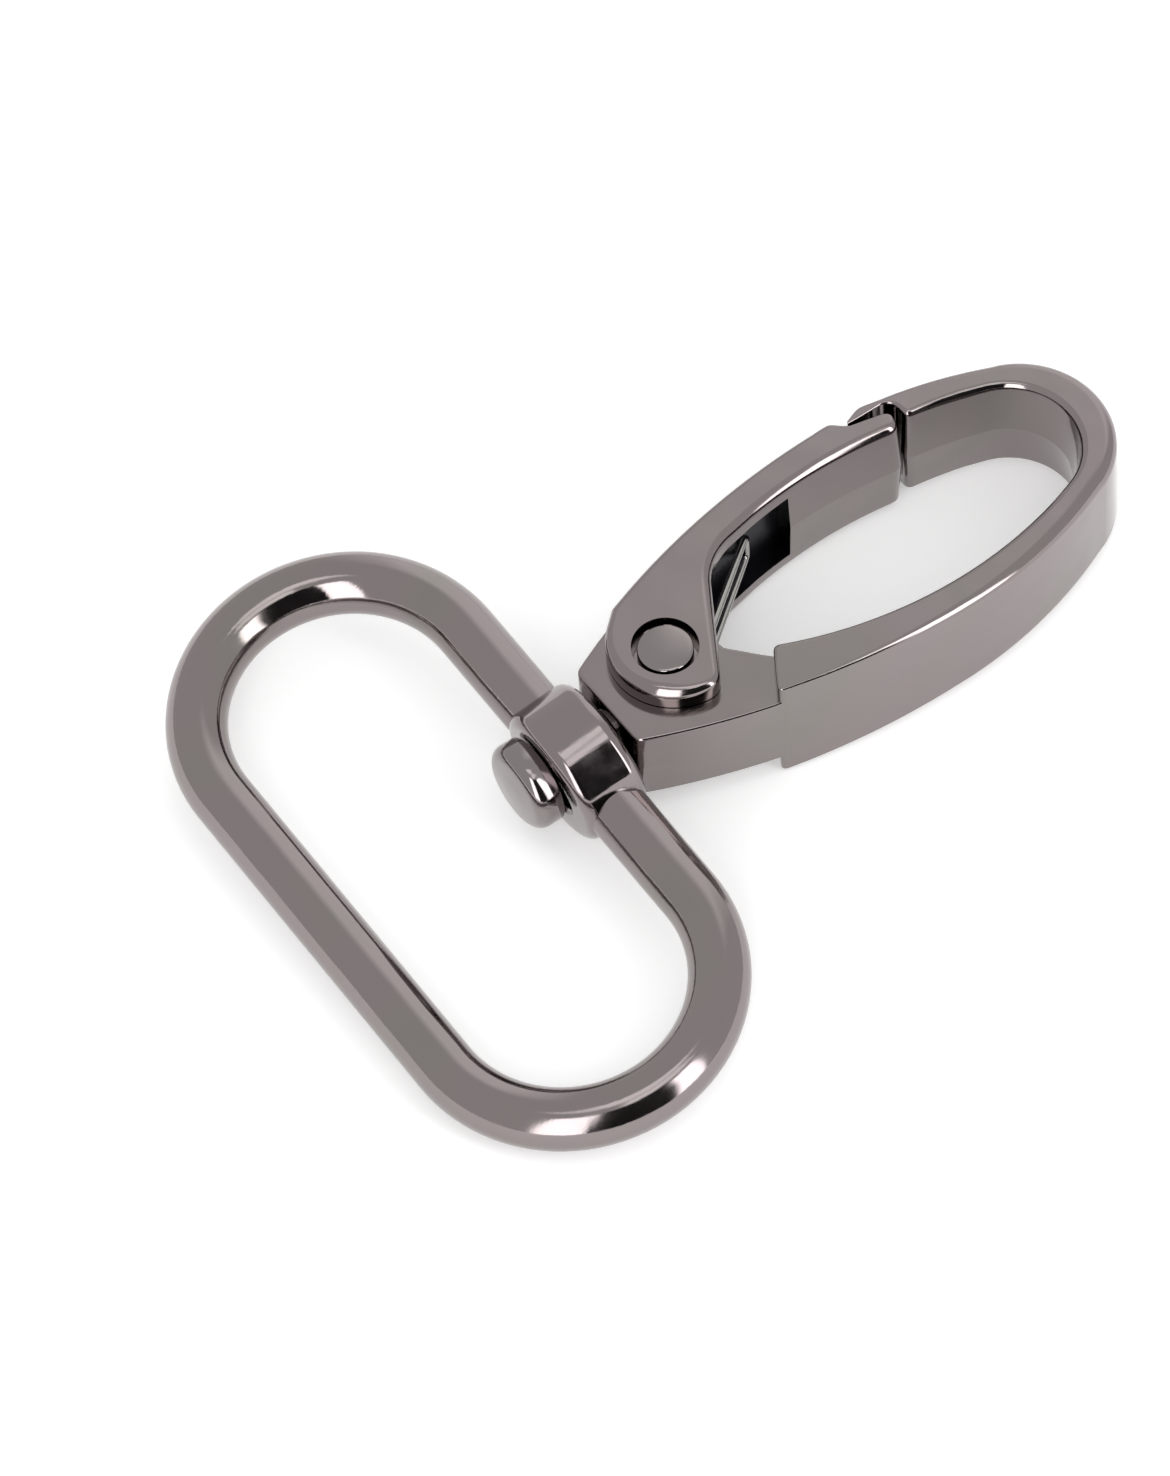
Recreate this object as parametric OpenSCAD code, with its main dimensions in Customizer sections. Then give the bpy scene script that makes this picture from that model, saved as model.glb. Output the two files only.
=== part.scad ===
// Swivel snap hook with a strap loop and a sprung push gate.
// Origin: centre of the hook's opening, on the swivel axis, at mid-thickness.
// +X runs along the swivel axis towards the nose, +Z is up through the hook's flat side.

/* [Strap loop] */
// Length of the slot, which is the width of strap it takes
slot_length = 38; // [32:1:44]
// Gap across the slot
slot_gap = 14.5; // [12:0.5:18]
// Diameter of the loop's round wire
wire_d = 3.9; // [3.4:0.1:4.4]
// Diameter of the swivel eye, a drum in the middle of one long side
eye_d = 9.2; // [8.2:0.1:9.2]
// Length of the swivel eye along the swivel axis
eye_length = 4.4; // [4:0.1:4.5]
// Diameter of the loose hole through the swivel eye
eye_hole_d = 4.5; // [4.5:0.1:4.8]

/* [Swivel rivet] */
// Diameter of the rivet's head, inside the strap loop
rivet_head_d = 5.8; // [5.4:0.1:6.5]
// Length of the rivet's head
rivet_head_l = 1.8; // [1.6:0.1:2.6]
// Diameter of the rivet's shank
rivet_d = 3.2; // [2.6:0.1:3.2]

/* [Hook] */
// Distance from the swivel's centre to the tip of the nose
hook_reach = 40.1; // [40:0.1:41]
// Width of the hook at its widest
hook_width = 16.1; // [15.9:0.1:16.3]
// Thickness of the hook where the arm steps up from the base
hook_thick = 8.9; // [8.6:0.1:9.4]
// Thickness of the hook at the tip of the nose
nose_thick = 8.0; // [7.6:0.1:8.6]
// Thickness of the base, which sits between the gate's cheeks
base_thick = 6.0; // [5.6:0.1:6.2]

/* [Gate] */
// Diameter of the gate pin
pin_d = 2.2; // [1.8:0.1:2.4]
// Diameter of the pin's flush heads
pin_head_d = 3.45; // [3:0.05:3.6]
// Thickness of the gate's back wall
gate_back = 1.1; // [0.9:0.1:1.2]
// Angle at which the gate is shown, from shut to fully pushed in
gate_angle = 0; // [0:1:25]

/* [Spring] */
// Diameter of the spring's wire
spring_wire_d = 0.5; // [0.4:0.05:0.5]

/* [Hidden] */
$fn = 96;
big = 60;
eps = 0.01;

// Colours
gunmetal = [0.42, 0.40, 0.40];
dark_gunmetal = [0.36, 0.35, 0.35];
spring_steel = [0.55, 0.54, 0.52];

// Strap loop, measured from the swivel's centre
swivel_x = -25;
loop_r = (slot_gap + wire_d) / 2;
loop_straight = slot_length + wire_d - 2 * loop_r;
loop_depth = 2 * loop_r;
eye_back = -2.15;
eye_edge = 0.75;
// At rest on a table the loop hangs a little askew in its loose eye
droop = 6.4;
loop_roll = 2.35;
loop_shift = [-0.25, -0.55, 0];

// Hook: the flanks are large arcs that meet at the widest point, and the ends are small arcs
widest_x = -0.6;
half_w = hook_width / 2;
tail_flank_r = 52;
nose_flank_r = 29.5;
nose_x = swivel_x + hook_reach;
nose_r = 6;
base_x = -22.55;
opening_half_w = 5.95;
opening_flank_r = 29;
opening_tip_x = 8.1;
opening_tip_r = opening_flank_r - norm([opening_tip_x, opening_flank_r - opening_half_w]);
taper_start_x = -13;

// Step from the base up to the arm, and the base's slanted end inside the opening
step_outer = [-14.1, -6.22];
step_inner = [-12.25, -3.3];
base_corner = [-14.25, -0.8];
step_dir = (step_inner - step_outer) / norm(step_inner - step_outer);

// Nose end and the thin lip that the gate's tongue shuts under
seam_x = 4.5;
lip_tip_x = 1.2;
lip_y = 7.25;
lip_corner_r = 0.9;

// Gate
pin_pos = [-17.6, 0.57];
cheek_pos = [-16.75, 0.8];
cheek_r = 4.25;
cheek_gap = 0.07;
cheek_edge_low = [-16.35, -3.5];
cheek_edge_high = [-12.45, 2.87];
gate_wall_r = 32;
gate_wall_y = 5.75;
gate_wall_x = -2.5;
gate_tail_angle = 110.25;
bend_r = 4.6;
channel_end_x = -4.6;
tongue_end_x = 3.85;
shoulder_angle = 110;
shoulder_gap_angle = 2.5;

// Pin, rivet and their pockets
running_gap = 0.05;
grip_gap = 0.02;
head_floor_z = 3.45;
head_ring_w = 0.33;
pocket_half = 1.4;
pocket_r = 2.35;
ear_r = 3.2;
tail_wall = 1.4;
tail_l = 0.8;
tail_d = 4.4;
head_gap = 0.35;

// Spring
coil_r = 1.6;
coil_turns = 2;
leg_gap = 0.6;
leg_angle = 37;
leg_length = 11.4;
short_leg = 1.3;

function arc_points(centre, r, from_angle, to_angle, steps) =
    [for (i = [0:steps])
        let (a = from_angle + (to_angle - from_angle) * i / steps)
        centre + r * [cos(a), sin(a)]];

function half_thick(x) =
    hook_thick / 2 - (hook_thick - nose_thick) / 2 * max(0, x - taper_start_x) / (nose_x - taper_start_x);

// Region between two mirrored circles whose widest point is at x
module lens(x, half_width, r) {
    intersection() {
        translate([x, half_width - r]) circle(r);
        translate([x, r - half_width]) circle(r);
    }
}

module half_plane_right(x) {
    translate([x, -big / 2]) square([big, big]);
}

// Outer outline of the whole hook, shrunk by inset
module hook_outline(inset = 0) {
    intersection() {
        lens(widest_x, half_w - inset, tail_flank_r - inset);
        half_plane_right(base_x);
        mirror([1, 0]) half_plane_right(-widest_x);
    }
    nose_centre = [nose_x - nose_r, 0];
    intersection() {
        lens(widest_x, half_w - inset, nose_flank_r - inset);
        half_plane_right(widest_x - eps);
        mirror([1, 0]) half_plane_right(-nose_centre[0] - 2.4);
    }
    translate(nose_centre) circle(nose_r - inset);
}

// The opening that a ring or strap sits in
module opening_outline() {
    intersection() {
        lens(0, opening_half_w, opening_flank_r);
        mirror([1, 0]) half_plane_right(-opening_tip_x - 1.5);
    }
    translate([opening_tip_x, 0]) circle(opening_tip_r);
}

// Everything on the base's side of the step, in plan
module behind_step() {
    far = 8;
    low = step_outer - far * step_dir;
    high = step_inner + far * step_dir;
    polygon([low, high, [-big, high[1]], [-big, low[1]]]);
}

// The space that the gate's end fills, up to the nose's end face and under its lip
module gate_notch() {
    translate([-big, -eps]) square([big + seam_x - lip_corner_r, lip_y + eps]);
    translate([-big, -eps]) square([big + seam_x, lip_y - lip_corner_r]);
    translate([seam_x - lip_corner_r, lip_y - lip_corner_r]) circle(lip_corner_r);
    polygon([[-big, lip_y - eps], [lip_tip_x, lip_y - eps], [lip_tip_x + 0.05, lip_y + 0.15],
        [lip_tip_x + 1.9, half_w + 0.3], [-big, half_w + 0.3]]);
}

// Cuts that give the hook its tapering thickness
module thickness_cuts() {
    root = half_thick(taper_start_x);
    tip = half_thick(nose_x + 1);
    for (side = [0, 1])
        mirror([0, 0, side])
            rotate([90, 0, 0])
                linear_extrude(big, center = true)
                    polygon([[-big, root], [taper_start_x, root], [nose_x + 1, tip],
                        [nose_x + 1, hook_thick], [-big, hook_thick]]);
}

module arm_outline() {
    difference() {
        hook_outline();
        opening_outline();
        behind_step();
        gate_notch();
    }
}

// Base in plan: a wedge behind the step, with a round ear about the gate pin
module base_outline() {
    shoulder = [cos(shoulder_angle), sin(shoulder_angle)];
    intersection() {
        hook_outline();
        polygon([[base_x, -half_w], step_outer - 2 * step_dir, step_outer + [2, -1], step_inner + [1, -1],
            step_inner, base_corner, pin_pos, pin_pos + 8 * shoulder, [base_x, 8]]);
    }
    translate(pin_pos) circle(ear_r);
}

module spring_pocket() {
    translate([pin_pos[0], pin_pos[1], -pocket_half]) {
        cylinder(r = pocket_r, h = 2 * pocket_half);
        rotate(leg_angle) translate([0, -pocket_r + 0.1, 0]) cube([8, 6, 2 * pocket_half]);
    }
}

module hook_body() {
    color(gunmetal)
    difference() {
        union() {
            difference() {
                linear_extrude(hook_thick, center = true) arm_outline();
                thickness_cuts();
            }
            linear_extrude(base_thick, center = true) base_outline();
        }
        spring_pocket();
        translate([pin_pos[0], pin_pos[1], -big / 2]) cylinder(d = pin_d + 2 * grip_gap, h = big);
        translate([base_x - 1, 0, 0]) rotate([0, 90, 0])
            cylinder(d = rivet_d + 2 * running_gap, h = 1 + tail_wall + eps);
        translate([base_x + tail_wall, 0, 0]) rotate([0, 90, 0])
            cylinder(d = tail_d + 0.4, h = tail_l + 0.3);
    }
}

// Gate in plan: round cheek end, straight edge, bend, thin wall, then the necked tongue
module gate_outline() {
    edge = cheek_edge_high - cheek_edge_low;
    edge_angle = atan2(edge[1], edge[0]);
    bend_centre = cheek_edge_high + bend_r * [cos(edge_angle - 90), sin(edge_angle - 90)];
    wall_centre = [gate_wall_x, gate_wall_y - gate_wall_r];
    polygon(concat(
        [cheek_edge_low],
        arc_points(bend_centre, bend_r, edge_angle + 90, edge_angle + 40, 8),
        arc_points(wall_centre, gate_wall_r, 99.2, 78.6, 12),
        [[tongue_end_x, 6.3], [tongue_end_x - 0.35, 6.62], [1.3, 7.12], [0.95, 7.35]],
        arc_points([widest_x, half_w - nose_flank_r], nose_flank_r, 88.2, 89.9, 2),
        arc_points([widest_x, half_w - tail_flank_r], tail_flank_r, 90, gate_tail_angle, 16),
        arc_points(cheek_pos, cheek_r, 133, 274, 24)));
}

// Hollow between the cheeks: inside the back wall, and open behind the base's shoulder
module gate_channel() {
    shut = shoulder_angle - shoulder_gap_angle;
    wall_r = tail_flank_r - gate_back;
    polygon(concat(
        [[base_x, -9], [channel_end_x, -9]],
        arc_points([widest_x, half_w - tail_flank_r], wall_r,
            acos((channel_end_x - widest_x) / wall_r), gate_tail_angle, 14),
        [[base_x, 3]]));
    translate(pin_pos) polygon([[0, 0], 9 * [cos(shut), sin(shut)], [-12, 9], [-12, -9], [0, -9]]);
}

module gate_shape() {
    difference() {
        linear_extrude(hook_thick, center = true) gate_outline();
        thickness_cuts();
        linear_extrude(base_thick + 2 * cheek_gap, center = true) gate_channel();
        translate([pin_pos[0], pin_pos[1], -big / 2]) cylinder(d = pin_d + 2 * running_gap, h = big);
        for (side = [0, 1])
            mirror([0, 0, side])
                translate([pin_pos[0], pin_pos[1], head_floor_z])
                    cylinder(d = pin_head_d + 2 * head_ring_w, h = big);
    }
}

module gate() {
    color(gunmetal)
    translate([pin_pos[0], pin_pos[1], 0]) rotate(-gate_angle)
        translate([-pin_pos[0], -pin_pos[1], 0]) gate_shape();
}

module gate_pin() {
    head_low = head_floor_z + running_gap;
    head_top = hook_thick / 2 - 0.03;
    dome = 0.12;
    color(dark_gunmetal)
    translate([pin_pos[0], pin_pos[1], 0])
        rotate_extrude()
            polygon([[0, -head_top], [pin_head_d / 2 - 0.5, -head_top], [pin_head_d / 2, -head_top + dome],
                [pin_head_d / 2, -head_low], [pin_d / 2, -head_low], [pin_d / 2, head_low],
                [pin_head_d / 2, head_low], [pin_head_d / 2, head_top - dome],
                [pin_head_d / 2 - 0.5, head_top], [0, head_top]]);
}

// Double torsion spring: two coils on the pin joined by one long U-shaped leg, with two short legs
module gate_spring() {
    pitch = spring_wire_d + 0.04;
    inner_z = (leg_gap + spring_wire_d) / 2;
    outer_z = inner_z + pitch * (coil_turns - 1);
    color(spring_steel)
    translate([pin_pos[0], pin_pos[1], 0]) {
        for (side = [0, 1])
            mirror([0, 0, side]) {
                for (i = [0:coil_turns - 1])
                    translate([0, 0, inner_z + i * pitch])
                        rotate_extrude() translate([coil_r, 0]) circle(d = spring_wire_d);
                rotate(leg_angle) {
                    translate([0, -coil_r, inner_z]) rotate([0, 90, 0])
                        cylinder(d = spring_wire_d - 0.02, h = leg_length);
                    translate([-coil_r, 0, inner_z]) cylinder(d = spring_wire_d * 0.7, h = outer_z - inner_z);
                }
                translate([-coil_r, 0, outer_z]) rotate([90, 0, 0])
                    cylinder(d = spring_wire_d - 0.02, h = short_leg);
            }
        rotate(leg_angle) translate([leg_length - spring_wire_d / 2, -coil_r, 0])
            cylinder(d = spring_wire_d * 0.8, h = 2 * inner_z, center = true);
    }
}

module swivel_rivet() {
    head_face = eye_back + loop_shift[0] - head_gap;
    head_end = head_face - rivet_head_l;
    tail_x = base_x + tail_wall + 0.05 - swivel_x;
    r = rivet_head_d / 2;
    color(dark_gunmetal)
    translate([swivel_x, 0, 0]) rotate([0, 90, 0])
        rotate_extrude()
            polygon([[0, head_end - 0.25], [r * 0.45, head_end - 0.18], [r - 0.7, head_end + 0.1],
                [r - 0.25, head_end + 0.4], [r, head_end + 0.95], [r, head_face - 0.2], [r - 0.2, head_face],
                [rivet_d / 2, head_face], [rivet_d / 2, tail_x], [tail_d / 2, tail_x],
                [tail_d / 2, tail_x + tail_l], [0, tail_x + tail_l]]);
}

module strap_loop() {
    color(gunmetal)
    translate([swivel_x, 0, 0] + loop_shift) rotate([loop_roll, 0, 0]) rotate([0, -droop, 0])
    difference() {
        union() {
            for (x = [0, -loop_depth])
                translate([x, 0, 0]) rotate([90, 0, 0])
                    cylinder(d = wire_d, h = loop_straight, center = true);
            for (side = [0, 1])
                mirror([0, side, 0])
                    translate([-loop_r, loop_straight / 2, 0])
                        rotate_extrude(angle = 180) translate([loop_r, 0]) circle(d = wire_d);
            rotate([0, 90, 0]) rotate_extrude()
                polygon([[0, eye_back], [eye_d / 2 - eye_edge, eye_back],
                    [eye_d / 2 - eye_edge * 0.3, eye_back + eye_edge * 0.3],
                    [eye_d / 2, eye_back + eye_edge], [eye_d / 2, eye_back + eye_length - eye_edge],
                    [eye_d / 2 - eye_edge * 0.3, eye_back + eye_length - eye_edge * 0.3],
                    [eye_d / 2 - eye_edge, eye_back + eye_length], [0, eye_back + eye_length]]);
        }
        rotate([0, 90, 0]) cylinder(d = eye_hole_d, h = 3 * wire_d, center = true);
    }
}

strap_loop();
swivel_rivet();
hook_body();
gate();
gate_pin();
gate_spring();
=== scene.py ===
"""Looks for the swivel snap hook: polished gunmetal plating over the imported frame."""
import math

import bmesh
import bpy
from mathutils import Matrix, Vector


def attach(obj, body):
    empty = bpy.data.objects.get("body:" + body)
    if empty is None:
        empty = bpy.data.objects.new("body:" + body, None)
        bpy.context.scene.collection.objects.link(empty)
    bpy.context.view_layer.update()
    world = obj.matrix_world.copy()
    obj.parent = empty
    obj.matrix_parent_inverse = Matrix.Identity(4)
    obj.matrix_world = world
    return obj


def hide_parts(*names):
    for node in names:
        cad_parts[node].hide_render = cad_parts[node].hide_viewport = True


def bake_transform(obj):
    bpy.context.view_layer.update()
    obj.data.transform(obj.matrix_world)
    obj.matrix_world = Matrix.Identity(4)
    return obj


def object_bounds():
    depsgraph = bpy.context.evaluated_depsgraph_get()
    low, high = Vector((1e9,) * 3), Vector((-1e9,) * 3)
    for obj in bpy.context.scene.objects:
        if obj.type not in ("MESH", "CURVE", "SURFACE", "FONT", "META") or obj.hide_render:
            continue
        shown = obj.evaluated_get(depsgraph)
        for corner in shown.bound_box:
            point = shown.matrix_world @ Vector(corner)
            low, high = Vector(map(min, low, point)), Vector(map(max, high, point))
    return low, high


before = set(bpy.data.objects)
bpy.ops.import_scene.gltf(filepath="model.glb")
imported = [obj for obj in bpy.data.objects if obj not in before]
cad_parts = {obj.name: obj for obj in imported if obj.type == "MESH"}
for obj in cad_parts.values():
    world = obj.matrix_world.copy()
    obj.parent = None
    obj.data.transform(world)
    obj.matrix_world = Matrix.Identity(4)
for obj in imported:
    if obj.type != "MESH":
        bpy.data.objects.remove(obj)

cad_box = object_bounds()
MM = 0.001

# ---------------------------------------------------------------- sizes, in mm and degrees
# Strap loop: a wire bent to an oval, with a drum on it that the rivet goes through
SWIVEL_X = -25.0
WIRE_R = 1.95
BEND_R = 9.199
HALF_STRAIGHT = 11.75
LOOP_SHIFT = (-0.25, -0.55, 0.0)
LOOP_DROOP, LOOP_ROLL = 6.4, 2.35
EYE_R, EYE_BACK, EYE_LENGTH = 4.595, -2.15, 4.4
EYE_HOLE_R, EYE_MOUTH, EYE_EDGE = 2.25, 0.25, 0.75

# Rivet, with its head's face and end measured along the axis from the swivel's centre
RIVET_R, RIVET_HEAD_R, RIVET_TAIL_R, RIVET_TAIL_L = 1.6, 2.9, 2.2, 0.8
HEAD_FACE, HEAD_END, DOME = -2.75, -4.55, 0.22

# Hook: flanks with a long radius each side of its widest place, a round nose and an oval opening
WIDEST_X, HALF_W, TAIL_R, NOSE_FLANK_R = -0.6, 8.05, 52.0, 29.5
NOSE_C, NOSE_R, NOSE_MEET = 9.1, 5.995, 65.9
OPEN_HALF_W, OPEN_R, OPEN_TIP_X, OPEN_TIP_R, OPEN_MEET = 5.95, 29.0, 8.1, 4.57, 70.6
STEP_OUTER, STEP_INNER = (-14.1, -6.267), (-12.25, -3.236)
STEP_HALF, NOSE_HALF, STEP_END_X = 4.45, 4.0, -13.9
LIP_Y, LIP_TIP_X, SEAM_X, LIP_R = 7.25, 1.2, 4.5, 0.9

# Base under the gate's cheeks
BASE_X, BASE_HALF, BASE_DROP = -22.55, 3.0, 0.02
BASE_CORNER, BASE_HEEL = (-14.25, -0.8), (-11.95, -3.5)
EAR_R, POCKET_R, POCKET_HALF = 3.2, 2.35, 1.4

# Gate: two round cheeks, a straight edge, a bend, and a wall with a channel behind it
PIN = (-17.6, 0.57)
CHEEK, CHEEK_R = (-16.75, 0.8), 4.25
EDGE_LOW, EDGE_HIGH = (-16.35, -3.5), (-12.45, 2.87)
GATE_WALL_R, GATE_WALL_X, GATE_WALL_Y, GATE_BEND_R = 32.0, -2.5, 5.75, 4.6
GATE_BACK, CHEEK_GAP, CHANNEL_END_X, SHOULDER = 1.1, 0.07, -4.6, 107.5

# Gate's pin and the seat that its heads lie in
PIN_R, PIN_HEAD_R, HEAD_FLOOR, SEAT_R, HEAD_TOP = 1.1, 1.75, 3.45, 2.03, 4.425

# Spring
COIL_R, COIL_PITCH, COIL_TURNS, SPRING_WIRE_R = 1.6, 0.5, 1.75, 0.245
LEG_Z, LEG_LENGTH, BLEND_LENGTH, LEAN = 1.08, 10.9, 11.0, math.radians(37)

# Creases sharper than these angles stay crisp
EDGE_CREASE, WIRE_CREASE, SEAM_CREASE = 34, 60, 2.5


# ---------------------------------------------------------------- outlines
def arc(centre, r, start, end, steps):
    """Points along an arc, with angles in degrees."""
    turns = [math.radians(start + (end - start) * i / steps) for i in range(steps + 1)]
    return [(centre[0] + r * math.cos(a), centre[1] + r * math.sin(a)) for a in turns]


def run(points, fillet=0.3, draft=0.0):
    """Outline points that carry an edge fillet and a mid-height bulge, each even or from-to."""
    f = fillet if isinstance(fillet, tuple) else (fillet, fillet)
    d = draft if isinstance(draft, tuple) else (draft, draft)
    last = max(1, len(points) - 1)
    return [
        (p[0], p[1], f[0] + (f[1] - f[0]) * i / last, d[0] + (d[1] - d[0]) * i / last)
        for i, p in enumerate(points)
    ]


def mix(a, b, t):
    """The point a share t of the way from a to b."""
    return tuple(u + (v - u) * t for u, v in zip(a, b))


def walk(outline, start, step, distance):
    """The point a distance along the outline from one of its corners, and how many points lie between."""
    count, gone, at, passed = len(outline), 0.0, start, 0
    while True:
        a, b = outline[at % count], outline[(at + step) % count]
        length = math.hypot(b[0] - a[0], b[1] - a[1])
        if gone + length > distance:
            return mix(a, b, (distance - gone) / length), passed
        gone, at, passed = gone + length, at + step, passed + 1


def soften(outline, corners, steps=6):
    """Rounds corners, given as (x, y, cut distance), with curves that start and end that far away."""
    found = []
    for x, y, distance in corners:
        i = min(range(len(outline)), key=lambda k: math.hypot(outline[k][0] - x, outline[k][1] - y))
        before, back = walk(outline, i, -1, distance)
        after, ahead = walk(outline, i, 1, distance)
        found.append((i, back, ahead, before, after))
    skip = {(i + k) % len(outline) for i, back, ahead, _, _ in found for k in range(-back, ahead + 1)}
    curves = {i: (before, after) for i, _, _, before, after in found}
    result = []
    for k, point in enumerate(outline):
        if k in curves:
            before, after = curves[k]
            for s in range(steps + 1):
                t = s / steps
                result.append(mix(mix(before, point, t), mix(point, after, t), t))
        elif k not in skip:
            result.append(point)
    return result


def arm_outline():
    """The hook's arm from its step round the nose to the lip, anticlockwise from above."""
    low_tail, low_flank = (WIDEST_X, TAIL_R - HALF_W), (WIDEST_X, NOSE_FLANK_R - HALF_W)
    high_flank = (WIDEST_X, HALF_W - NOSE_FLANK_R)
    lip_x = 2.4
    lip_end = math.degrees(math.acos((lip_x - WIDEST_X) / NOSE_FLANK_R))
    seam_angle = math.degrees(math.acos(SEAM_X / OPEN_R))
    outer = run([STEP_OUTER] + arc(low_tail, TAIL_R, 255.6, 269, 22), (0.13, 0.5))
    outer += run(arc(low_flank, NOSE_FLANK_R, -90, -NOSE_MEET - 1, 18), (0.5, 0.85))
    outer += run(arc((NOSE_C, 0), NOSE_R, -NOSE_MEET, NOSE_MEET, 48), (0.85, 0.6))
    outer += run(arc(high_flank, NOSE_FLANK_R, NOSE_MEET + 1, 80, 9), (0.6, 0.35))
    outer += run(arc(high_flank, NOSE_FLANK_R, 80.8, lip_end, 6), (0.35, 0.12))
    lip = [(LIP_TIP_X + 0.1, LIP_Y + 0.19), (LIP_TIP_X + 0.03, LIP_Y + 0.03)]
    lip += [(x, LIP_Y) for x in (1.9, 2.5, 3.0)]
    lip += arc((SEAM_X - LIP_R, LIP_Y - LIP_R), LIP_R, 88, 2, 10)
    outer += run(lip, (0.05, 0.25))
    inner = run(arc((0, OPEN_HALF_W - OPEN_R), OPEN_R, seam_angle, 73.5, 8), (0.4, 0.5), 0.4)
    inner += run(arc((OPEN_TIP_X, 0), OPEN_TIP_R, OPEN_MEET, -OPEN_MEET, 48), 0.45, 0.4)
    inner += run(arc((0, OPEN_R - OPEN_HALF_W), OPEN_R, -73.5, -113.5, 34), (0.5, 0.3), (0.4, 0.1))
    step = run([STEP_INNER, mix(STEP_INNER, STEP_OUTER, 0.5)], (0.25, 0.13))
    corners = [(*STEP_OUTER, 0.55), (*STEP_INNER, 0.5), (lip_x, 7.9, 0.4), (SEAM_X, 5.6, 0.45)]
    return soften(outer + inner + step, corners)


def base_outline():
    """The base under the gate's cheeks: a wedge with a round ear about the pin."""
    low_tail, high_tail = (WIDEST_X, TAIL_R - HALF_W), (WIDEST_X, HALF_W - TAIL_R)
    low = run(arc(low_tail, TAIL_R - BASE_DROP, 245.05, 251, 8), (0.2, 0.18), (0.12, 0))
    low += run(arc(low_tail, TAIL_R - BASE_DROP, 251.7, 257, 7), (0.18, 0.15))
    into_arm = run([(-11.4, -5.6), (-11.2, -4.4), BASE_HEEL], 0.05)
    end = run([mix(BASE_HEEL, BASE_CORNER, 0.3), BASE_CORNER], 0.15)
    ear = run(arc(PIN, EAR_R, -5, 110, 16), 0.1)
    high = run(arc(high_tail, TAIL_R - BASE_DROP, 110.8, 114.95, 5), 0.2)
    back = run([(BASE_X, 1.5), (BASE_X, -1.5)], 0.2)
    corners = [(BASE_X, 3.19, 0.5), (BASE_X, -3.19, 0.5), (-19.07, 4.63, 0.3)]
    return soften(low + into_arm + end + ear + high + back, corners)


def gate_outline():
    """Cheek end, straight edge, bend, wall, tongue and outer flank, anticlockwise from above."""
    edge = math.atan2(EDGE_HIGH[1] - EDGE_LOW[1], EDGE_HIGH[0] - EDGE_LOW[0])
    turn = math.degrees(edge)
    bend_c = (EDGE_HIGH[0] + GATE_BEND_R * math.sin(edge), EDGE_HIGH[1] - GATE_BEND_R * math.cos(edge))
    wall_c = (GATE_WALL_X, GATE_WALL_Y - GATE_WALL_R)
    high_flank, high_tail = (WIDEST_X, HALF_W - NOSE_FLANK_R), (WIDEST_X, HALF_W - TAIL_R)
    points = run([mix(EDGE_LOW, EDGE_HIGH, t / 6) for t in range(6)], (0.45, 0.65))
    points += run(arc(bend_c, GATE_BEND_R, turn + 90, turn + 40, 16), (0.65, 0.55), (0, 0.15))
    points += run(arc(wall_c, GATE_WALL_R, 99.0, 78.6, 30), (0.55, 0.6), (0.15, 0.3))
    tongue = [(3.85, 6.3), (3.5, 6.62), (2.6, 6.83), (1.3, 7.12), (0.95, 7.35)]
    points += run(tongue, 0.15)
    points += run(arc(high_flank, NOSE_FLANK_R, 88.2, 89.9, 2), 0.3)
    points += run(arc(high_tail, TAIL_R, 90.4, 110.2, 34), (0.35, 0.4))
    points += run(arc(CHEEK, CHEEK_R, 132, 225, 30), (0.45, 0.85))
    points += run(arc(CHEEK, CHEEK_R, 228, 272, 14), (0.85, 0.45))
    corners = [(*EDGE_LOW, 0.75), (3.825, 5.12, 0.9), (*tongue[0], 0.22), (*tongue[1], 0.22)]
    return soften(points, corners + [(0.33, 8.035, 0.3), (*tongue[-1], 0.2)])


def arm_half(x):
    """Half the hook's thickness, which tapers evenly from the step to the nose."""
    return STEP_HALF - (STEP_HALF - NOSE_HALF) * (x - STEP_END_X) / (NOSE_C + NOSE_R - STEP_END_X)


# ---------------------------------------------------------------- meshes
def plate(outline, half, fillet_steps=6):
    """Vertices and faces of a plate with rolled edges. half(x) is half its thickness.

    Each outline point holds x, y, the fillet at its edges and how far it bulges at mid-height.
    """
    count = len(outline)
    inward = []
    for i, p in enumerate(outline):
        a, b = outline[i - 1], outline[(i + 1) % count]
        first = Vector((p[0] - a[0], p[1] - a[1])).normalized()
        second = Vector((b[0] - p[0], b[1] - p[1])).normalized()
        n1, n2 = Vector((-first.y, first.x)), Vector((-second.y, second.x))
        both = (n1 + n2).normalized()
        inward.append(both / max(0.5, both.dot(n1)))
    turns = [math.pi / 2 * k / fillet_steps for k in range(fillet_steps + 1)]
    levels = [(t, 1) for t in turns] + [(None, 0)] + [(t, -1) for t in reversed(turns)]
    verts, faces = [], []
    for turn, side in levels:
        for (x, y, fillet, draft), n in zip(outline, inward):
            inset = -draft if turn is None else fillet * (1 - math.sin(turn))
            px, py = x + n.x * inset, y + n.y * inset
            z = 0.0 if turn is None else side * (half(px) - fillet * (1 - math.cos(turn)))
            verts.append((px, py, z))
    for row in range(len(levels) - 1):
        for i in range(count):
            j = (i + 1) % count
            a, b = row * count, (row + 1) * count
            faces.append((a + i, b + i, b + j, a + j))
    faces.append(tuple(range(count)))
    faces.append(tuple(reversed(range((len(levels) - 1) * count, len(levels) * count))))
    return verts, faces


def prism(points, low, high):
    """Vertices and faces of an upright prism."""
    count = len(points)
    verts = [(x, y, low) for x, y in points] + [(x, y, high) for x, y in points]
    faces = [(i, (i + 1) % count, count + (i + 1) % count, count + i) for i in range(count)]
    return verts, faces + [tuple(reversed(range(count))), tuple(range(count, 2 * count))]


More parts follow.
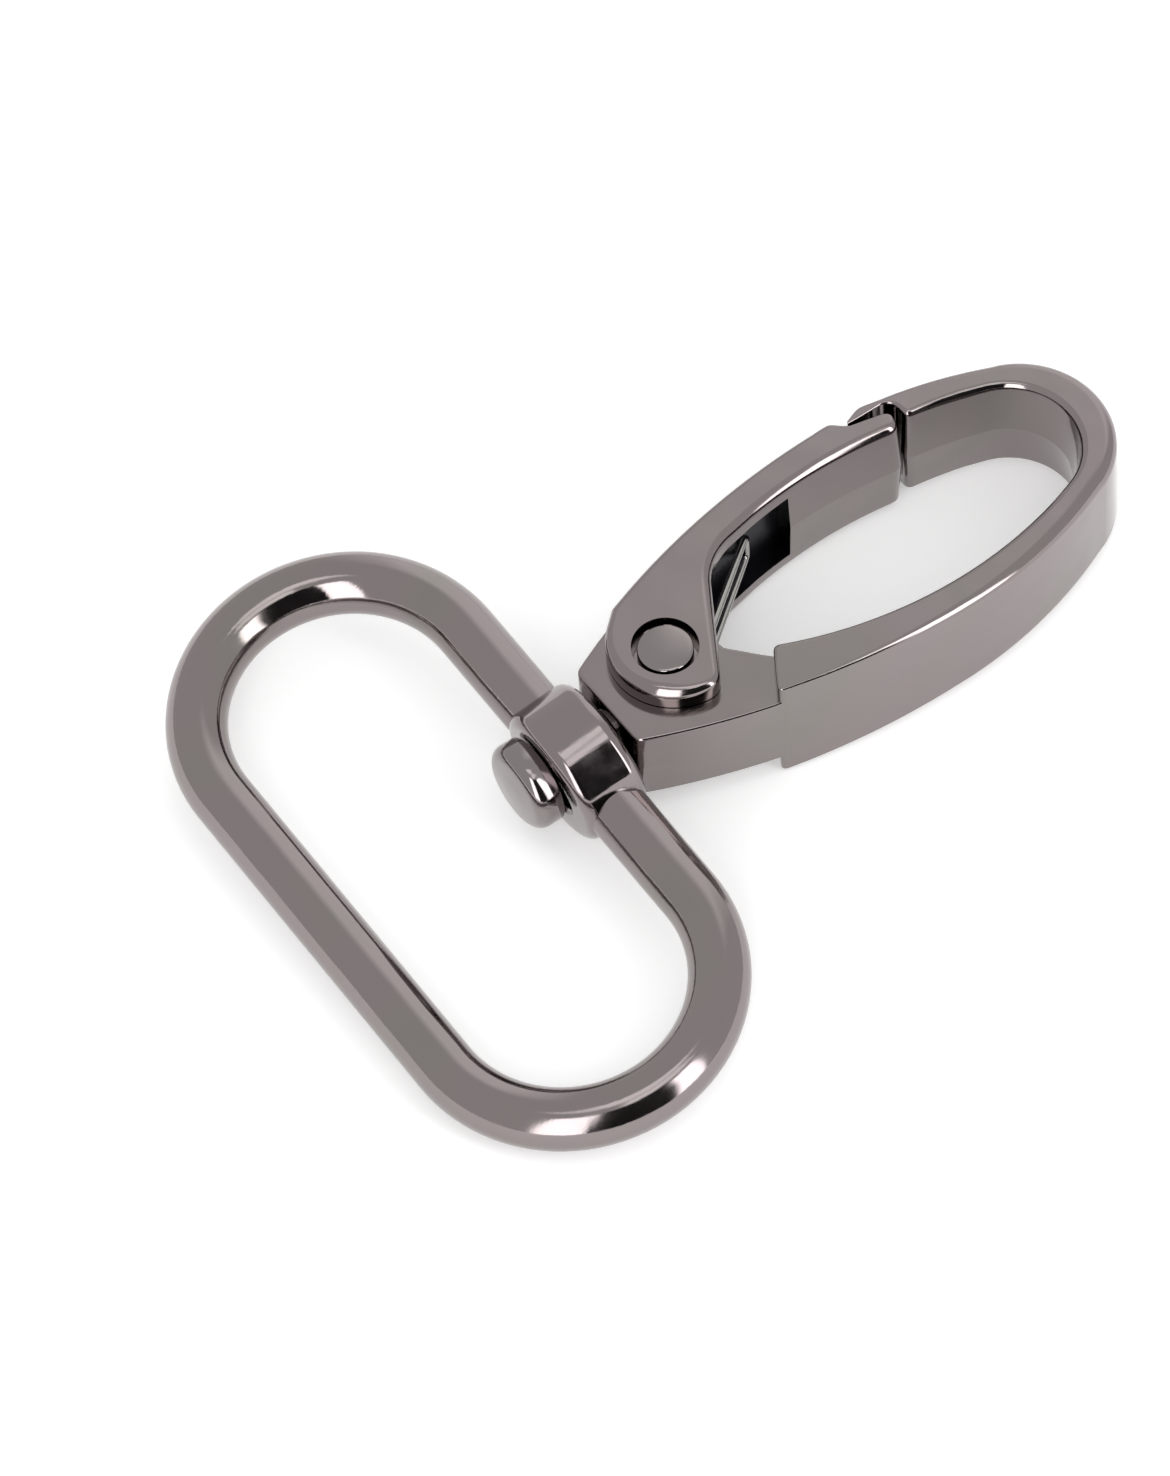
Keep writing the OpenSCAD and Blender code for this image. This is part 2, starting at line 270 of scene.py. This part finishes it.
def lathe(profile, steps, axis="Z", centre=(0, 0, 0)):
    """Turned solid. profile runs along the axis as (along, radius), and its ends lie on the axis."""
    verts, rows = [], []
    for along, radius in profile:
        if radius < 1e-6:
            rows.append([len(verts)])
            verts.append((along, 0.0, 0.0))
            continue
        rows.append(list(range(len(verts), len(verts) + steps)))
        for i in range(steps):
            a = 2 * math.pi * i / steps
            verts.append((along, radius * math.cos(a), radius * math.sin(a)))
    faces = []
    for low, high in zip(rows, rows[1:]):
        for i in range(steps):
            j = (i + 1) % steps
            ring = [low[i % len(low)], low[j % len(low)], high[j % len(high)], high[i % len(high)]]
            faces.append(tuple(dict.fromkeys(ring)))
    if axis == "Z":
        verts = [(y, z, x) for x, y, z in verts]
    return [tuple(c + d for c, d in zip(v, centre)) for v in verts], faces


def tube(points, radius, sides=32, closed=False):
    """Round wire along a path, with round ends unless it is closed."""
    path = [Vector(p) for p in points]
    count = len(path)
    radii = [radius] * count
    if not closed:
        start, end = path[0], path[-1]
        d0, d1 = (path[0] - path[1]).normalized(), (path[-1] - path[-2]).normalized()
        caps = [(math.sin(math.radians(a)), math.cos(math.radians(a))) for a in (30, 60, 85)]
        path = [start + d0 * radius * s for s, _ in reversed(caps)] + path
        path += [end + d1 * radius * s for s, _ in caps]
        radii = [radius * c for _, c in reversed(caps)] + radii + [radius * c for _, c in caps]
        count = len(path)
    verts, faces, normal = [], [], None
    for i, p in enumerate(path):
        before = path[i - 1] if closed or i else p
        after = path[(i + 1) % count] if closed or i < count - 1 else p
        tangent = (after - before).normalized()
        if normal is None:
            side = Vector((0, 0, 1)) if abs(tangent.z) < 0.9 else Vector((1, 0, 0))
            normal = (side - tangent * side.dot(tangent)).normalized()
        normal = (normal - tangent * normal.dot(tangent)).normalized()
        other = tangent.cross(normal)
        for k in range(sides):
            a = 2 * math.pi * k / sides
            verts.append(tuple(p + (normal * math.cos(a) + other * math.sin(a)) * radii[i]))
    for i in range(count if closed else count - 1):
        for k in range(sides):
            a, b, m = i * sides, (i + 1) % count * sides, (k + 1) % sides
            faces.append((a + k, a + m, b + m, b + k))
    if not closed:
        faces.append(tuple(reversed(range(sides))))
        faces.append(tuple(range((count - 1) * sides, count * sides)))
    return verts, faces


def make(name, verts, faces):
    """A new object whose faces all look outwards."""
    mesh = bpy.data.meshes.new(name)
    mesh.from_pydata(verts, [], faces)
    bm = bmesh.new()
    bm.from_mesh(mesh)
    bmesh.ops.recalc_face_normals(bm, faces=bm.faces)
    bm.to_mesh(mesh)
    bm.free()
    obj = bpy.data.objects.new(name, mesh)
    bpy.context.scene.collection.objects.link(obj)
    return obj


def combine(obj, other, operation):
    """Joins, cuts or crosses obj with another solid, which is then removed."""
    modifier = obj.modifiers.new("combine", "BOOLEAN")
    modifier.object, modifier.operation, modifier.solver = other, operation, "EXACT"
    graph = bpy.context.evaluated_depsgraph_get()
    mesh = bpy.data.meshes.new_from_object(obj.evaluated_get(graph))
    obj.modifiers.clear()
    obj.data = mesh
    bpy.data.objects.remove(other)
    return obj


def shade(obj, crease=EDGE_CREASE):
    """Scales a piece from mm to metres and shades it smooth but for its real edges."""
    near = 2e-7
    obj.data.transform(Matrix.Scale(MM, 4))
    bm = bmesh.new()
    bm.from_mesh(obj.data)
    bmesh.ops.remove_doubles(bm, verts=bm.verts, dist=near)
    bmesh.ops.dissolve_degenerate(bm, edges=bm.edges, dist=near)
    for face in bm.faces:
        face.smooth = True
    for edge in bm.edges:
        seam = all(abs(v.co.z) < 1e-6 for v in edge.verts)
        limit = math.radians(SEAM_CREASE if seam else crease)
        edge.smooth = len(edge.link_faces) == 2 and edge.calc_face_angle(0) < limit
    bm.to_mesh(obj.data)
    bm.free()
    weighted = obj.modifiers.new("weighted_normals", "WEIGHTED_NORMAL")
    weighted.keep_sharp, weighted.weight = True, 60
    return obj


# ---------------------------------------------------------------- pieces
def build_arm_and_base():
    """The hook in one piece, bored for the pin and the rivet, with a pocket for the spring."""
    arm = make("hook_casting", *plate(arm_outline(), arm_half))
    combine(arm, make("base_part", *plate(base_outline(), lambda x: BASE_HALF, 4)), "UNION")
    half_bore = [(2.9, PIN_R + 0.02), (3.0, 1.2), (3.2, 1.35), (3.2, 0)]
    bore = [(-along, radius) for along, radius in reversed(half_bore)] + half_bore
    combine(arm, make("bore", *lathe(bore, 64, "Z", (*PIN, 0))), "DIFFERENCE")
    shank_r, chamber_r = 1.65, 2.4
    shank = [(-1, 0), (-1, 1.95), (0, 1.85), (0.2, shank_r), (1.4, shank_r), (1.4, chamber_r),
             (2.5, chamber_r), (2.5, 0)]
    shank = [(BASE_X + along, radius) for along, radius in shank]
    combine(arm, make("bore", *lathe(shank, 64, "X")), "DIFFERENCE")
    pocket = arc(PIN, POCKET_R, 150, 307, 24) + [(-12.0, 1.3), (-13.5, 6.5), (-17.5, 6.5)]
    return combine(arm, make("pocket", *prism(pocket, -POCKET_HALF, POCKET_HALF)), "DIFFERENCE")


def build_gate():
    """The gate, hollow between its cheeks. Faces inside the hollow take the second material: painted shade.
    """
    gate = make("gate_casting", *plate(gate_outline(), arm_half))
    back_r, inner_half, shut = TAIL_R - GATE_BACK, BASE_HALF + CHEEK_GAP, math.radians(SHOULDER)
    start = math.degrees(math.acos((CHANNEL_END_X - WIDEST_X) / back_r))
    back = arc((WIDEST_X, HALF_W - TAIL_R), back_r, start, 110.6, 24)
    outside = (PIN[0] + 9 * math.cos(shut), PIN[1] + 9 * math.sin(shut))
    hollow = [(-26, -9), (CHANNEL_END_X, -9)] + back + [outside, (-26, 9)]
    combine(gate, make("hollow", *prism(hollow, -inner_half, inner_half)), "DIFFERENCE")
    # Faces on the hollow's back wall, end and cheek insides get the near-black painted-shade material
    for face in gate.data.polygons:
        x, y, z = face.center
        on_back = abs(math.hypot(x - WIDEST_X, y + TAIL_R - HALF_W) - back_r) < 0.04
        on_end, on_cheek = abs(x - CHANNEL_END_X) < 0.01, abs(z) > inner_half - 0.01
        if abs(z) < inner_half + 0.01 and (on_back or on_end or on_cheek):
            face.material_index = 1
    seat = [(-6, 0), (-6, 2.2), (-4.45, 2.1), (-4.3, SEAT_R + 0.01), (-HEAD_FLOOR, SEAT_R)]
    seat += [(-HEAD_FLOOR, PIN_R + 0.05)]
    seat += [(-along, radius) for along, radius in reversed(seat)]
    return combine(gate, make("seat", *lathe(seat, 96, "Z", (*PIN, 0))), "DIFFERENCE")


def build_pin():
    """The gate's pin, with a low domed head at each end."""
    head = [(3.5, PIN_R), (3.5, PIN_HEAD_R), (4.22, PIN_HEAD_R), (4.28, 1.73), (4.325, 1.67)]
    head += [(4.355, 1.55), (4.38, 1.3), (4.405, 0.9), (4.42, 0.45), (HEAD_TOP, 0)]
    other = [(-along, radius) for along, radius in reversed(head)]
    return make("pin_steel", *lathe(other + head, 96, "Z", (*PIN, 0)))


def build_rivet():
    """The rivet: a low dome with a rolled edge, the shank, and a tail in the base's chamber."""
    drops = (DOME, 0), (0.21, 0.5), (0.18, 1.1), (0.11, 1.6)
    dome = [(HEAD_END - drop, radius) for drop, radius in drops]
    roll = [(HEAD_END + 0.75 - 0.83 * math.cos(a), RIVET_HEAD_R - 0.8 + 0.8 * math.sin(a))
            for a in [math.radians(8 + 82 * i / 9) for i in range(10)]]
    head = [(HEAD_FACE - 0.22, RIVET_HEAD_R), (HEAD_FACE - 0.08, 2.85)]
    head += [(HEAD_FACE, 2.7), (HEAD_FACE, RIVET_R)]
    tail = BASE_X + 1.45 - SWIVEL_X
    tip = tail + RIVET_TAIL_L
    end = [(tail, RIVET_R), (tail, RIVET_TAIL_R), (tip, RIVET_TAIL_R), (tip, 0)]
    return make("rivet_steel", *lathe(dome + roll + head + end, 96, "X", (SWIVEL_X, 0, 0)))


def build_loop():
    """The strap loop with its bored drum, leaning on the rivet as it does in the photo."""
    path = arc((-BEND_R, HALF_STRAIGHT), BEND_R, 0, 180, 48)
    path += arc((-BEND_R, -HALF_STRAIGHT), BEND_R, 180, 360, 48)
    wire = make("loop_casting", *tube([(x, y, 0) for x, y in path], WIRE_R, 48, True))
    edge = [math.radians(90 * i / 7) for i in range(8)]
    front, mouth_r = EYE_BACK + EYE_LENGTH, EYE_HOLE_R + EYE_MOUTH
    short = [(1 - math.cos(a), 1 - math.sin(a)) for a in edge]
    drum = [(EYE_BACK, 0)]
    drum += [(EYE_BACK + EYE_EDGE * u, EYE_R - EYE_EDGE * v) for u, v in short]
    drum += [(front - EYE_EDGE * v, EYE_R - EYE_EDGE * u) for u, v in short]
    combine(wire, make("drum", *lathe(drum + [(front, 0)], 96, "X")), "UNION")
    hole = [(-4, 0), (-4, mouth_r), (EYE_BACK - 0.05, mouth_r), (EYE_BACK + EYE_MOUTH, EYE_HOLE_R)]
    hole += [(front - EYE_MOUTH, EYE_HOLE_R), (front + 0.05, mouth_r), (4, mouth_r), (4, 0)]
    combine(wire, make("hole", *lathe(hole, 72, "X")), "DIFFERENCE")
    place = Matrix.Translation((SWIVEL_X + LOOP_SHIFT[0], LOOP_SHIFT[1], LOOP_SHIFT[2]))
    place @= Matrix.Rotation(math.radians(LOOP_ROLL), 4, "X")
    place @= Matrix.Rotation(math.radians(-LOOP_DROOP), 4, "Y")
    wire.data.transform(place)
    return wire


def build_spring():
    """One wire in two mirrored halves: coils from the middle outwards, then the long leg to the bridge."""
    steps, leg_steps, bridge_r = 90, 16, 0.45
    helix = []
    for i in range(steps + 1):
        left = COIL_TURNS * (1 - i / steps)
        a = LEAN - math.pi / 2 - 2 * math.pi * left
        x, y = PIN[0] + COIL_R * math.cos(a), PIN[1] + COIL_R * math.sin(a)
        helix.append(Vector((x, y, LEG_Z - COIL_PITCH * left)))
    along, down = Vector((math.cos(LEAN), math.sin(LEAN), 0)), Vector((0, 0, -0.5))
    leg = [helix[-1] + along * LEG_LENGTH * i / leg_steps for i in range(1, leg_steps + 1)]
    bends = [math.radians(20 * k) for k in range(1, 5)]
    tip = [leg[-1] + along * bridge_r * math.sin(a) + down * (1 - math.cos(a)) for a in bends]
    half = helix + leg + tip
    back = [Vector((p.x, p.y, -p.z)) for p in reversed(half)]
    return make("spring_wire", *tube(half + back, SPRING_WIRE_R, 14))


# ---------------------------------------------------------------- materials
# Each tint drifts from slightly warm to slightly purple grey
CASTING_TINTS = (0.246, 0.228, 0.215), (0.262, 0.23, 0.227), (0.26, 0.223, 0.232)
STEEL_TINTS = (0.25, 0.232, 0.22), (0.262, 0.236, 0.232), (0.262, 0.23, 0.238)
# Near-black tints that paint the shade inside the gate's hollow
CHANNEL_SHADE_TINTS = (0.02, 0.02, 0.024), (0.03, 0.028, 0.034), (0.045, 0.042, 0.05)
WIRE_TINTS = (0.36, 0.35, 0.33), (0.42, 0.41, 0.39), (0.46, 0.45, 0.43)
TINT_STOPS, GLOSS_STOPS = (0.3, 0.5, 0.7), (0.35, 0.72)
# How fine each pattern is, in waves to the metre, and how deep the two bumps are
TINT_SCALE, SMUDGE_SCALE, SWELL_SCALE, SCRATCH_SCALE = 95, 420, 240, 1500
SCRATCH_DEPTH, SWELL_DEPTH = 0.05 * MM, 0.6 * MM
SCRATCH_STRETCH = (0.12, 5.0, 5.0)
PAPER_GREY, PAPER_GLOW = 0.9, 0.29


def link(tree, a, out, b, into):
    """Joins the output called out of node a to the input called into of node b."""
    tree.links.new(a.outputs[out], b.inputs[into])


def ramp(tree, stops):
    """A colour ramp with the given (position, colour) stops."""
    node = tree.nodes.new("ShaderNodeValToRGB")
    node.color_ramp.elements[0].position, node.color_ramp.elements[0].color = stops[0]
    node.color_ramp.elements[1].position, node.color_ramp.elements[1].color = stops[-1]
    for position, colour in stops[1:-1]:
        node.color_ramp.elements.new(position).color = colour
    return node


def noise(tree, coords, scale, detail, rough, distort=0.0):
    """A noise texture over the given coordinates."""
    node = tree.nodes.new("ShaderNodeTexNoise")
    node.inputs["Scale"].default_value = scale
    node.inputs["Detail"].default_value = detail
    node.inputs["Roughness"].default_value = rough
    node.inputs["Distortion"].default_value = distort
    tree.links.new(coords, node.inputs["Vector"])
    return node


def bump(tree, height, strength, distance):
    """A bump of the given strength and distance whose height is a noise node."""
    node = tree.nodes.new("ShaderNodeBump")
    node.inputs["Strength"].default_value = strength
    node.inputs["Distance"].default_value = distance
    link(tree, height, "Fac", node, "Height")
    return node


def plating(name, tints, rough=(0.05, 0.16), turn=0.0, swell=0.09, grain=0.02):
    """Polished dark plating: slow tint drift, smudged gloss, fine polishing lines and a soft cast swell."""
    material = bpy.data.materials.new(name)
    material.use_nodes = True
    tree = material.node_tree
    shader = tree.nodes["Principled BSDF"]
    shader.inputs["Metallic"].default_value = 1.0
    place = tree.nodes.new("ShaderNodeTexCoord").outputs["Object"]
    tint = noise(tree, place, TINT_SCALE, 2.5, 0.5, 0.6)
    colours = ramp(tree, [(at, (*colour, 1)) for at, colour in zip(TINT_STOPS, tints)])
    link(tree, tint, "Fac", colours, "Fac")
    link(tree, colours, "Color", shader, "Base Color")
    smudge = noise(tree, place, SMUDGE_SCALE, 4.0, 0.6, 0.3)
    gloss = ramp(tree, [(at, (level,) * 3 + (1,)) for at, level in zip(GLOSS_STOPS, rough)])
    link(tree, smudge, "Fac", gloss, "Fac")
    link(tree, gloss, "Color", shader, "Roughness")
    lines = tree.nodes.new("ShaderNodeMapping")
    lines.inputs["Rotation"].default_value = (0, 0, turn)
    lines.inputs["Scale"].default_value = SCRATCH_STRETCH
    tree.links.new(place, lines.inputs["Vector"])
    scratch = noise(tree, lines.outputs["Vector"], SCRATCH_SCALE, 2.0, 0.5)
    wave = noise(tree, place, SWELL_SCALE, 1.0, 0.4)
    fine = bump(tree, scratch, grain, SCRATCH_DEPTH)
    soft = bump(tree, wave, swell, SWELL_DEPTH)
    link(tree, fine, "Normal", soft, "Normal")
    link(tree, soft, "Normal", shader, "Normal")
    return material


def casting_finish():
    """Plating of the loop, hook and gate."""
    return plating("gunmetal_casting", CASTING_TINTS, turn=0.1, grain=0.05)


def steel_finish():
    """Plating of the rivet and the pin."""
    return plating("gunmetal_steel", STEEL_TINTS, turn=1.2, grain=0.05)


def channel_shade_finish():
    """Painted shade: dull metal inside the gate's hollow, coloured near-black for the shade that falls
    there.
    """
    return plating("channel_painted_shade", CHANNEL_SHADE_TINTS, rough=(0.25, 0.4))


def wire_finish():
    """Bright drawn wire of the spring."""
    return plating("spring_steel", WIRE_TINTS, rough=(0.14, 0.28), turn=0.6, swell=0.02, grain=0.1)


def paper_finish():
    """White paper of the floor, a little lit from within so that it reads as white."""
    paper = bpy.data.materials.new("paper")
    paper.use_nodes = True
    shader = paper.node_tree.nodes["Principled BSDF"]
    shader.inputs["Base Color"].default_value = (PAPER_GREY, PAPER_GREY, PAPER_GREY, 1)
    shader.inputs["Roughness"].default_value = 0.9
    shader.inputs["Specular IOR Level"].default_value = 0.1
    shader.inputs["Emission Color"].default_value = (1, 1, 1, 1)
    shader.inputs["Emission Strength"].default_value = PAPER_GLOW
    return paper


# ---------------------------------------------------------------- put together
casting, steel, channel, wire = casting_finish(), steel_finish(), channel_shade_finish(), wire_finish()
PIECES = (
    (build_loop, "strap_loop", "loop", "plated_body", casting),
    (build_rivet, "swivel_rivet", "rivet", "plated_rivet", steel),
    (build_arm_and_base, "hook_body", "hook", "plated_body", casting),
    (build_gate, "gate", "gate", "plated_body", casting),
    (build_pin, "gate_pin", "hook", "plated_rivet", steel),
)
for build, node, body, slot, finish in PIECES:
    piece = shade(build())
    if not piece.data.materials:
        piece.data.materials.append(finish)
    piece.data.materials[0] = finish
    # The gate's second material paints the shade inside its hollow near-black
    if node == "gate":
        piece.data.materials.append(channel)
    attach(piece, body)
    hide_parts(node)

spring = shade(build_spring(), WIRE_CREASE)
spring.data.materials.append(wire)
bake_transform(spring)
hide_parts("gate_spring")

# ---------------------------------------------------------------- floor, light and camera
bpy.ops.mesh.primitive_plane_add(size=6, location=(0, 0, cad_box[0].z))
floor = bpy.context.object
floor.name = "floor"
floor.data.materials.append(paper_finish())

bpy.context.scene.view_settings.view_transform = "Standard"
world = bpy.data.worlds.new("studio")
bpy.context.scene.world = world
world.use_nodes = True
sky = world.node_tree


def maths(operation, *inputs):
    """A maths node of the sky. Each input is another node's output or a number."""
    node = sky.nodes.new("ShaderNodeMath")
    node.operation = operation
    for socket, value in zip(node.inputs, inputs):
        if isinstance(value, (int, float)):
            socket.default_value = value
        else:
            sky.links.new(value, socket)
    return node.outputs[0]


def inside(value, low, high, blur):
    """1 between two angles in degrees, 0 outside them, with edges as soft as blur degrees."""
    slope = 1 / math.radians(blur)
    rise = maths("MULTIPLY", maths("SUBTRACT", value, math.radians(low)), slope)
    fall = maths("MULTIPLY", maths("SUBTRACT", math.radians(high), value), slope)
    near = maths("MINIMUM", rise, fall)
    return maths("MINIMUM", maths("MAXIMUM", maths("ADD", near, 0.5), 0.0), 1.0)


# A white tent with a dark gap towards the front, soft boxes beside it and above it, and a brighter
# far corner. The gap is its azimuth from and to and its elevation from and to, in degrees.
TENT, GAP_LIGHT = 0.80, 0.03
GAP, GAP_BLUR = (-33, 13.5, -20, 62), 1.5
# Each soft box is its azimuth from and to, its elevation from and to, its power and its blur
BOXES = (
    (-58, -34, -20, 60, 3.6, 3),
    (15, 31, -20, 56, 4.2, 3),
    (-20, 40, 63, 74, 1.2, 4),
    (-95, 75, 76, 91, 1.2, 5),
    (105, 148, 0, 55, 0.5, 16),
)
split = sky.nodes.new("ShaderNodeSeparateXYZ")
sky.links.new(sky.nodes.new("ShaderNodeTexCoord").outputs["Generated"], split.inputs[0])
height = maths("ARCSINE", split.outputs[2])
across = maths("ARCTAN2", split.outputs[0], maths("MULTIPLY", split.outputs[1], -1.0))
in_gap = maths("MULTIPLY", inside(across, *GAP[:2], GAP_BLUR), inside(height, *GAP[2:], GAP_BLUR))
light = maths("SUBTRACT", TENT, maths("MULTIPLY", in_gap, TENT - GAP_LIGHT))
for left, right, low, high, power, blur in BOXES:
    lit = maths("MULTIPLY", inside(across, left, right, blur), inside(height, low, high, blur))
    light = maths("ADD", light, maths("MULTIPLY", lit, power))
background = sky.nodes["Background"]
sky.links.new(light, background.inputs["Strength"])
background.inputs["Color"].default_value = (1, 1, 1, 1)

# A long lens from the front left, well above the table and a little tipped
AZIMUTH, ELEVATION, ROLL = -32.15, 56.75, -4.27
CAMERA_PLACE = (-0.20247, -0.28362, 0.51200)
SENSOR_H, LENS = 36, 243.90244
camera_data = bpy.data.cameras.new("camera")
camera = bpy.data.objects.new("camera", camera_data)
bpy.context.scene.collection.objects.link(camera)
camera_data.sensor_fit = "VERTICAL"
camera_data.sensor_height = SENSOR_H
camera_data.lens = LENS
camera_data.clip_start, camera_data.clip_end = 0.01, 10
turn = Matrix.Rotation(math.radians(AZIMUTH), 4, "Z")
turn @= Matrix.Rotation(math.radians(90 - ELEVATION), 4, "X")
turn @= Matrix.Rotation(math.radians(ROLL), 4, "Z")
camera.matrix_world = Matrix.Translation(CAMERA_PLACE) @ turn
bpy.context.scene.camera = camera
